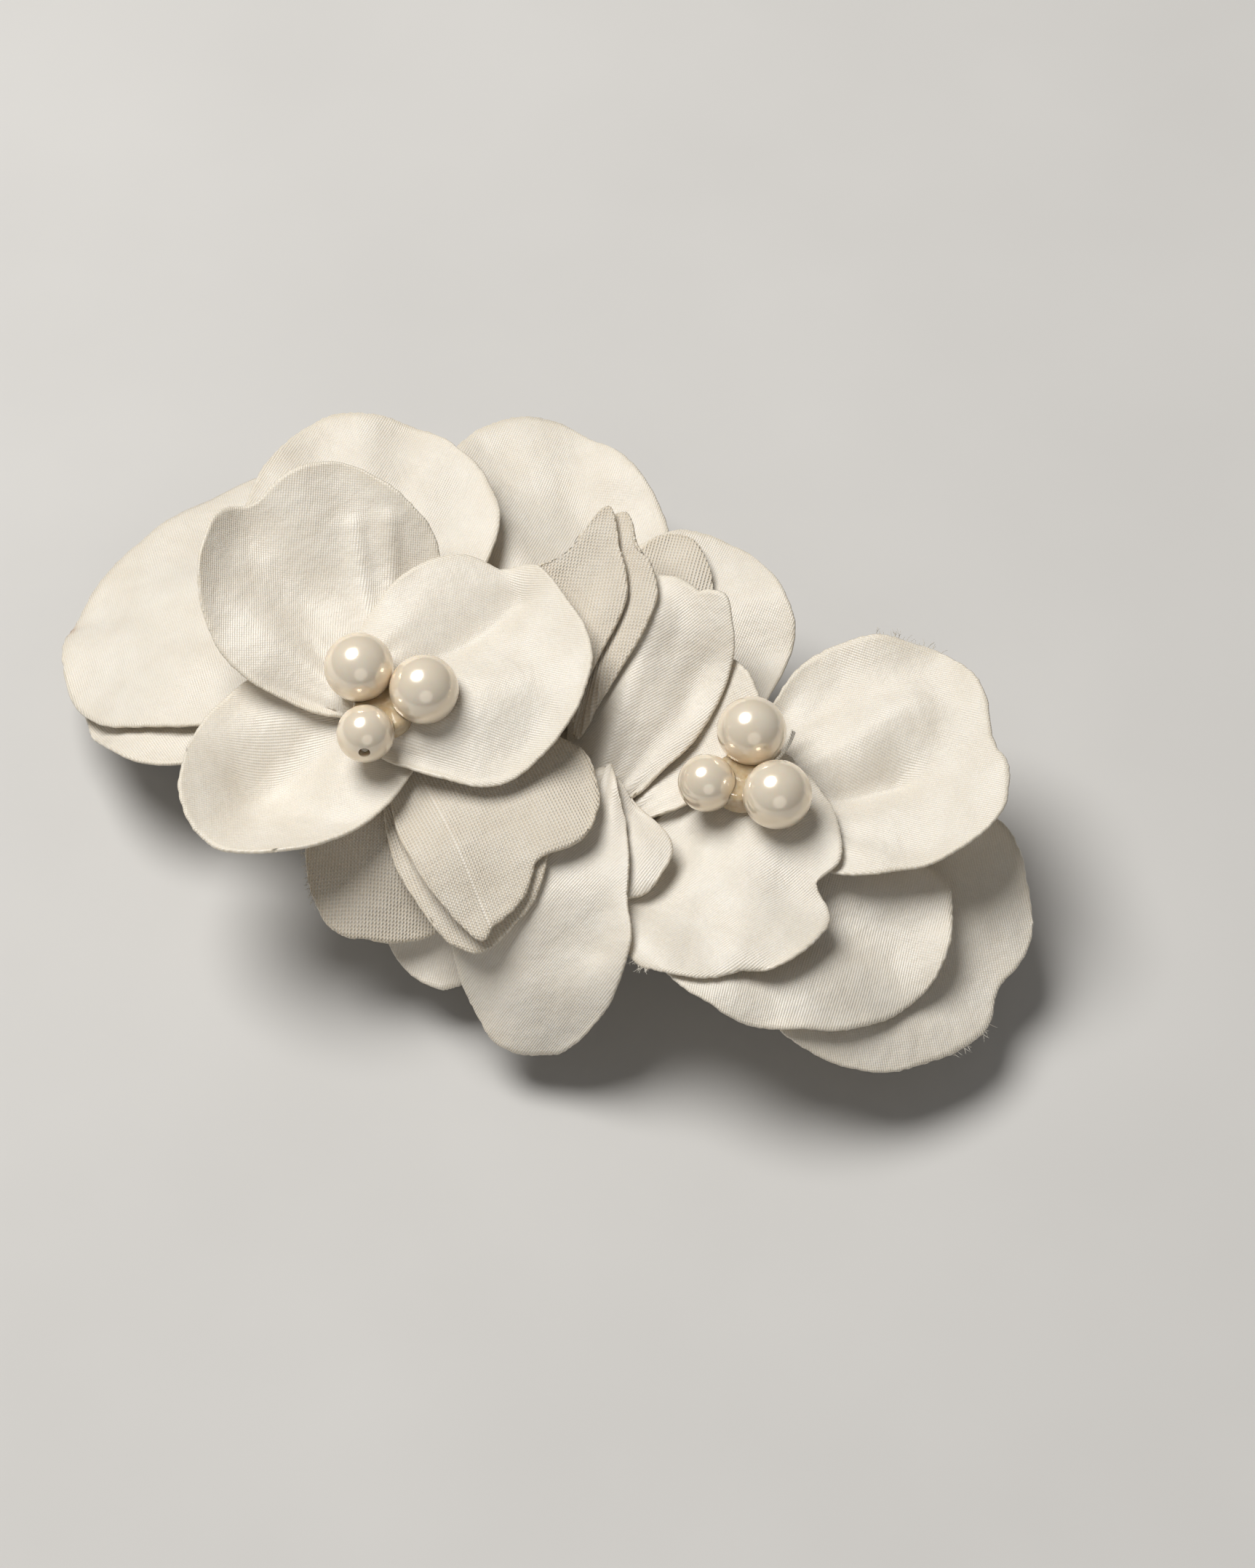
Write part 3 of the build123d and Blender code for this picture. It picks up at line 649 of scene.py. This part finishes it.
# From the lowest petal of the pile to the highest
PETALS = [
    Petal("left_under_petal_front", beside(LEFT, 12, 0.8, 0.8), -52, 22.5, 7, 5.5, -14, -14),
    Petal("left_under_petal_left", beside(LEFT, 12, -1.2, 2.8), 174, 30.5, 13, 12, -8, -12),
    Petal(
        "left_outer_petal_front", beside(LEFT, 12, -0.2, 1.8), -72, 20.5, 10, 6, -14, -16,
        square=0.1, back_up=True,
    ),
    Petal(
        "left_outer_petal_left", beside(LEFT, 12.5, -1.2, 2.8), 160, 34.2, 15.5, 19.5, -4, -16,
        cup=-0.01, square=0.08, lobes=[(44, 0.17, 0.4)],
        folds=[(16, 6, 30, 9, 3.0, -0.9), (18, -6, 30, -9, 2.5, 0.7)],
    ),
    Petal(
        "middle_petal_back", beside(MIDDLE, 12, -3, 4), 124, 37.5, 12, 11.5, 3, -4,
        folds=[(20, -3, 34, -6, 2.4, 1.0), (20, 4, 32, 5, 3.0, -1.0)],
    ),
    Petal(
        "left_outer_petal_back", beside(LEFT, 13, -1.2, 2.8), 119, 32, 11, 13, 8, -5,
        folds=[(16, 2, 29, 5, 2.5, -0.9), (18, -5, 28, -6, 2.5, 0.6)],
    ),
    Petal("right_petal_back", beside(RIGHT, 12.5, -3.5, 2), 120, 26, 9, 9, 8, -1),
    Petal(
        "right_petal_back_upper", beside(MIDDLE, 13), 98, 26.5, 5.5, 5, 8, -1, back_up=True
    ),
    Petal(
        "right_under_petal_front", beside(RIGHT, 12.5, -0.5, 2), -23, 28.5, 14.5, 15, -8, -12,
        lobes=[(-18, -0.1, 0.22)],
    ),
    Petal(
        "right_outer_petal_front", beside(RIGHT, 13, -0.5, 2), -50, 24, 13.5, 13.5, -6, -10,
        folds=[(10, 3, 22, 6, 3.0, -0.9)],
    ),
    Petal(
        "right_petal_right", beside(RIGHT, 14, -0.5), 31, 23, 13.6, 10, 5, 10,
        neck=0.85, belly=0.4, square=0.15, lobes=[(-8, -0.08, 0.18)],
        gather=0.4, folds=[(2, 2, 13, 0, 2.0, -1.5), (3, -4, 16, -6, 2.5, 0.7)],
    ),
    Petal(
        "right_petal_front", beside(RIGHT, 14.5, -0.5, 5), -91, 24, 11.8, 7, 1, -22,
        neck=0.85, lobes=[(-97, -0.2, 0.15), (-35, -0.06, 0.2)],
        folds=[(5, 3, 18, 3, 2.5, -0.9), (7, -3, 19, -5, 2.5, 0.6)],
    ),
    Petal(
        "middle_petal_right_under", beside(MIDDLE, 13.5, 1.5, -3), 72, 18, 5, 6.5, 14, 10, neck=0.6
    ),
    Petal(
        "middle_petal_right", beside(MIDDLE, 14, 0, -3), 85, 21.5, 8, 5.2, 20, 10,
        cup=-0.06, neck=0.7, square=0.3, lobes=[(-55, 0.12, 0.25), (25, 0.05, 0.2)],
        folds=[(4, -2, 18, -3, 2.0, 1.0), (4, 2, 16, 3, 1.6, -0.6)],
    ),
    Petal(
        "middle_petal_upright_under", beside(MIDDLE, 13.5, -3.8, 2.3), 99, 21.3, 6.4, 4.4, 20, 10,
        point=0.4, lobes=[(35, -0.18, 0.4)], back_up=True,
    ),
    Petal(
        "middle_petal_upright", beside(MIDDLE, 14, -5.4, 2.3), 100, 20.5, 7.2, 3.5, 20, 10,
        point=0.4, lobes=[(-38, -0.3, 0.4), (48, -0.08, 0.2)], back_up=True,
    ),
    Petal("middle_petal_corner", beside(MIDDLE, 14), -68, 13, 5.4, 5.6, -8, -20),
    Petal(
        "middle_petal_front", beside(MIDDLE, 15), -82, 26.5, 6.5, 10.5, -8, -45,
        cup=0.03, point=0.12, lobes=[(-95, -0.25, 0.3)], lift_left=1.6,
        folds=[(4, -2, 17, -3, 2.0, -0.8), (7, 4, 20, 3, 2.2, 0.7)],
    ),
    Petal(
        "left_under_petal_right", beside(LEFT, 14, -1.2, 2.8), -46, 26.5, 9.5, 4.5, -1, -25,
        back_up=True,
    ),
    Petal(
        "left_outer_petal_right", beside(LEFT, 15, -1.2, 2.8), -44, 25, 13.5, 4, 2, -22,
        square=0.12, lobes=[(-28, -0.16, 0.2), (14, 0.08, 0.25)], back_up=True,
    ),
    Petal(
        "left_inner_petal_front", beside(LEFT, 15, 2.5, 4.3), -120, 24.5, 9, 10.3, -2, 16,
        cup=0.05, neck=0.8, gather=0.35, lift_left=1.6, folds=[(4, 1, 17, 2, 3.0, -1.1)],
    ),
    Petal(
        "left_inner_petal_back", beside(LEFT, 15.5), 146, 24.5, 9.5, 13.3, 22, 12,
        cup=0.04, neck=0.7, lobes=[(2, -0.12, 0.22), (40, 0.07, 0.3)], gather=0.4,
        folds=[
            (2.5, -1, 4, 4, 1.5, 1.1),
            (6, 5, 16, 10, 0.8, 0.4),
            (7, 3, 17, 7, 0.8, 0.4),
            (8, 0, 20, -1, 3.0, -0.8),
        ],
    ),
    Petal(
        "left_inner_petal_right", beside(LEFT, 15, -2.4, -1.8), 36, 23.6, 12, 11, 16, 15,
        neck=0.8, lobes=[(-58, -0.08, 0.2), (-42, 0.06, 0.2)],
        gather=0.35, folds=[(4, -1, 18, -6, 2.0, -1.3), (5, 3, 19, 4, 3.0, 0.7)],
    ),
]

# Where a cut rim has frayed: bearing from the tip, spread and number of fibres
FRAYED = {
    "left_outer_petal_front": (62, 16, 40),
    "right_petal_right": (-62, 14, 30),
    "right_petal_front": (18, 12, 26),
    "right_under_petal_front": (4, 10, 16),
}

PEARLS = [n for n in sorted(frame["nodes"]) if "_pearl_" in n and not n.endswith(("glue", "threads"))]


def under_pearls(grid):
    """Press a petal's points down where a pearl sits on them."""
    pressed = grid.copy()
    for pearl in PEARLS:
        low, high = box_mm(pearl)
        centre, radius = (low + high) / 2, (high[2] - low[2]) / 2 + PEARL_GAP
        off = np.hypot(grid[..., 0] - centre[0], grid[..., 1] - centre[1])
        below = centre[2] - np.sqrt(np.maximum(0, radius**2 - off**2)) - CLOTH - PEARL_GAP
        pressed[..., 2] = np.where(off < radius, np.minimum(pressed[..., 2], below), pressed[..., 2])
    return pressed


def make_petal(petal, pile):
    """Cut, bend, settle and write one petal."""
    rng = random.Random(petal.name)
    along, across, radius = cut_flat(petal, rng)
    grid = bend(petal, along, across, rise_of(petal, along, across, rng))
    grid = settle(grid, pile)
    top = finer(grid, 3)
    top[..., 2] += CLOTH
    pile.lay(top)
    grid = under_pearls(grid)

    points, faces, home, sides = closed_sheet(grid, CLOTH)
    faces_up = ["satin_back", "satin_face"] if petal.back_up else ["satin_face", "satin_back"]
    piece = mesh_piece(petal.name + ".cloth", points, faces, faces_up)
    under = np.array(sides) == UNDER
    piece.data.polygons.foreach_set("material_index", under.astype(np.int32))
    own = np.array(home)
    flat = np.stack([across, along, 0 * along], axis=-1)[own[:, 0], own[:, 1]] * MM
    write_attribute(piece.data, "cloth", "FLOAT_VECTOR", flat)
    rim = (radius[own[:, 0], own[:, 1]] ** 30).clip(0, 1)
    write_attribute(piece.data, "rim", "FLOAT", rim)
    write_attribute(piece.data, "mark", "FLOAT", singe(petal, points))
    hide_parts(petal.name)
    return piece


def singe(petal, points):
    """The small scorch at the far edge of the left petal, where its rim was sealed by heat."""
    if petal.name != "left_outer_petal_left":
        return np.zeros(len(points))
    depth, reach, off_tip = 0.9, 0.6, 2.0
    points = np.array(points)
    leftmost = points[np.argmin(points[:, 0])]
    ahead = points[points[:, 1] < leftmost[1] - off_tip]
    at = ahead[np.argmin(ahead[:, 0])]
    return depth * np.exp(-np.sum((points - at) ** 2, axis=1) / reach**2)


def strand(name, routes, radius):
    """Fine fibres, each a tapering tube along its route, in one piece."""
    points, faces = [], []
    sides = 6
    for route in routes:
        route = np.array(route)
        start = len(points)
        for k, place in enumerate(route):
            ahead = route[min(k + 1, len(route) - 1)] - route[max(k - 1, 0)]
            ahead /= np.linalg.norm(ahead)
            across = np.cross(ahead, (0.3, 0.2, 1.0))
            across /= np.linalg.norm(across)
            third = np.cross(ahead, across)
            size = radius * (1 - 0.6 * k / (len(route) - 1))
            for side in range(sides):
                turn = math.tau * side / sides
                points.append(place + size * (across * math.cos(turn) + third * math.sin(turn)))
        for k in range(len(route) - 1):
            for side in range(sides):
                a, b = start + k * sides + side, start + k * sides + (side + 1) % sides
                faces.append((a, b, b + sides, a + sides))
        last = start + (len(route) - 1) * sides
        faces.append(tuple(start + side for side in reversed(range(sides))))
        faces.append(tuple(last + side for side in range(sides)))
    return mesh_piece(name, points, faces, ["thread"])


def frayed_rim(petal, piece, bearing, spread, count):
    """Loose fibres that stand out of a petal's cut edge round one bearing from its tip."""
    rng = random.Random(petal.name + "fray")
    points = np.array([v.co for v in piece.data.vertices])[: GRID * GRID] / MM
    under = points.reshape(GRID, GRID, 3)
    x, y = disc_points(GRID)
    angle = np.degrees(np.arctan2(x, y))
    rim = [place for place in rim_of(GRID) if abs(angle[place] - bearing) < spread]
    middle = under[GRID // 2, GRID // 2]
    routes = []
    for _ in range(count):
        place = rng.choice(rim)
        start = under[place] + np.array([0, 0, CLOTH / 2])
        out = start - middle
        out = out / np.linalg.norm(out)
        side = np.array([-out[1], out[0], 0]) * rng.uniform(-0.7, 0.7)
        long = rng.uniform(0.3, 0.9)
        drop = np.array([0, 0, rng.uniform(-0.5, 0.4)])
        shares = np.linspace(0, 1, 6)
        routes.append([start + (t - 0.1) * long * (out + side * t + drop * t) for t in shares])
    return strand(petal.name + ".frayed", routes, FIBRE)


def pulled_thread():
    """Loose ends of sewing thread that come up round the right flower's rear pearl and part."""
    low, high = box_mm("right_pearl_back")
    middle, radius = (low + high) / 2, (high[0] - low[0]) / 2
    room = 0.28
    routes = []
    for lifting, spreading in ((0.9, 1.3), (1.35, 0.7), (0.6, 1.75)):
        route = []
        for t in np.linspace(0, 1, 18):
            bearing = math.radians(-62 + 78 * t)
            reach = radius + room + 0.25 * t**3 * spreading
            rise = -1.3 + 1.5 * t + 0.4 * lifting * t**4
            route.append(middle + (reach * math.cos(bearing), reach * math.sin(bearing), rise))
        routes.append(route)
    return strand("right_pearl.loose_thread", routes, THREAD)


def arch_height(x):
    """Height of the backing felt's underside, which follows the steel strip's arch."""
    low, high = box_mm("backing_felt")
    reach, drop = high[0], high[2] - low[2] - FELT
    radius = (reach**2 + drop**2) / (2 * drop)
    return high[2] - FELT - radius + np.sqrt(radius**2 - x**2)


def felt_piece(node, lift, thickness, squareness):
    """A piece of felt laid over the arch: a disc at squareness 2, and more of a rectangle above."""
    rng = random.Random(node)
    low, high = box_mm(node)
    steps = np.linspace(-1, 1, GRID)
    across, along = np.meshgrid(steps, steps, indexing="ij")
    out = np.maximum(np.abs(across), np.abs(along))
    inner = np.minimum(np.abs(across), np.abs(along))
    corner = inner / np.maximum(out, 1e-9)
    reach = (1 + corner**squareness) ** (-1 / squareness)
    tufts = np.array([rng.uniform(-1, 1) for _ in range(GRID * GRID)]).reshape(GRID, GRID)
    reach = reach * (1 + 0.006 * tufts * out**8)
    half = (high[:2] - low[:2]) / 2
    x = (low[0] + high[0]) / 2 + across * reach * half[0]
    y = (low[1] + high[1]) / 2 + along * reach * half[1]
    z = arch_height(x) + lift + 0.02 * tufts
    grid = np.stack([x, y, z], axis=-1)
    points, faces, _, _ = closed_sheet(grid, thickness)
    piece = mesh_piece(node + ".cloth", points, faces, ["felt"])
    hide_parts(node)


pile = Pile(LOWEST)
for node in ("base_strip", "backing_felt", "left_felt_disc", "middle_felt_disc", "right_felt_disc"):
    pile.lay_node(node)
for petal in PETALS:
    cloth_piece = make_petal(petal, pile)
    if petal.name in FRAYED:
        frayed_rim(petal, cloth_piece, *FRAYED[petal.name])
pulled_thread()
felt_piece("backing_felt", 0, FELT, 5)
for head in ("left", "middle", "right"):
    felt_piece(head + "_felt_disc", FELT + LAY_GAP, DISC_FELT, 2)


# ------------------------------------------------------------------ CAD nodes that show

for name, node in frame["nodes"].items():
    if node.hide_render:
        continue
    slot = next(s["material_slot"] for s in frame["record"]["subparts"] if s["node"] == name)
    node.data.materials.clear()
    node.data.materials.append(MATERIALS[slot])


# ------------------------------------------------------------------ stage, lights and camera


def stage_floor():
    """A pale floor that curves up into a backdrop."""
    size, rise, bend_radius, steps = 1.2, 0.5, 0.25, 12
    profile = [(-size, 0.0), (size - bend_radius, 0.0)]
    for step in range(1, steps + 1):
        turn = math.radians(90 * step / steps)
        profile.append(
            (size - bend_radius + bend_radius * math.sin(turn), bend_radius * (1 - math.cos(turn)))
        )
    profile.append((size, rise))
    points = [(side * size * 1.5, y, z) for y, z in profile for side in (-1, 1)]
    faces = [(2 * k, 2 * k + 1, 2 * k + 3, 2 * k + 2) for k in range(len(profile) - 1)]
    mesh = bpy.data.meshes.new("floor")
    mesh.from_pydata(points, [], faces)
    mesh.polygons.foreach_set("use_smooth", [True] * len(mesh.polygons))
    nodes = Nodes("floor")
    place = nodes.add("ShaderNodeTexCoord").outputs["Object"]
    tone = nodes.noise(place, 30, 3.0)
    nodes.shade(
        Base_Color=nodes.ramp(tone, 0.3, 0.7, (0.60, 0.59, 0.575), (0.63, 0.62, 0.605)),
        Roughness=0.85,
    )
    mesh.materials.append(nodes.material)
    floor = bpy.data.objects.new("floor", mesh)
    bpy.context.scene.collection.objects.link(floor)


def soft_light(name, at, target, size, power, colour):
    """A round area light aimed at a point."""
    light = bpy.data.lights.new(name, "AREA")
    light.shape = "DISK"
    light.size = size
    light.energy = power
    light.color = colour
    lamp = bpy.data.objects.new(name, light)
    bpy.context.scene.collection.objects.link(lamp)
    lamp.location = at
    lamp.rotation_euler = (Vector(target) - Vector(at)).to_track_quat("-Z", "Y").to_euler()


def studio():
    """A soft key from the upper left, high up, a weak fill, and a dim warm surround."""
    middle = (0, 0, 0.015)
    soft_light("key", (-0.25, 0.03, 0.6), middle, 0.38, KEY_POWER, (1.0, 0.985, 0.955))
    soft_light("fill", (0.3, -0.5, 0.35), middle, 0.5, FILL_POWER, WARM_WHITE)
    world = bpy.data.worlds.new("studio")
    bpy.context.scene.world = world
    world.use_nodes = True
    background = world.node_tree.nodes["Background"]
    background.inputs["Color"].default_value = (*WARM_WHITE, 1)
    background.inputs["Strength"].default_value = SURROUND
    bpy.context.scene.view_settings.view_transform = "Standard"


def photo_camera():
    """A long lens from ahead and above, turned a little to the right."""
    azimuth, elevation = math.radians(CAMERA_AZIMUTH), math.radians(CAMERA_ELEVATION)
    back = Vector(
        (
            math.sin(azimuth) * math.cos(elevation),
            -math.cos(azimuth) * math.cos(elevation),
            math.sin(elevation),
        )
    )
    data = bpy.data.cameras.new("camera")
    data.lens = CAMERA_LENS
    data.sensor_width = CAMERA_SENSOR
    data.clip_start, data.clip_end = 0.02, 10
    camera = bpy.data.objects.new("camera", data)
    bpy.context.scene.collection.objects.link(camera)
    camera.location = Vector(CAMERA_AIM) * MM + back * (CAMERA_DISTANCE * MM)
    camera.rotation_euler = (-back).to_track_quat("-Z", "Y").to_euler()
    bpy.context.scene.camera = camera


stage_floor()
studio()
photo_camera()
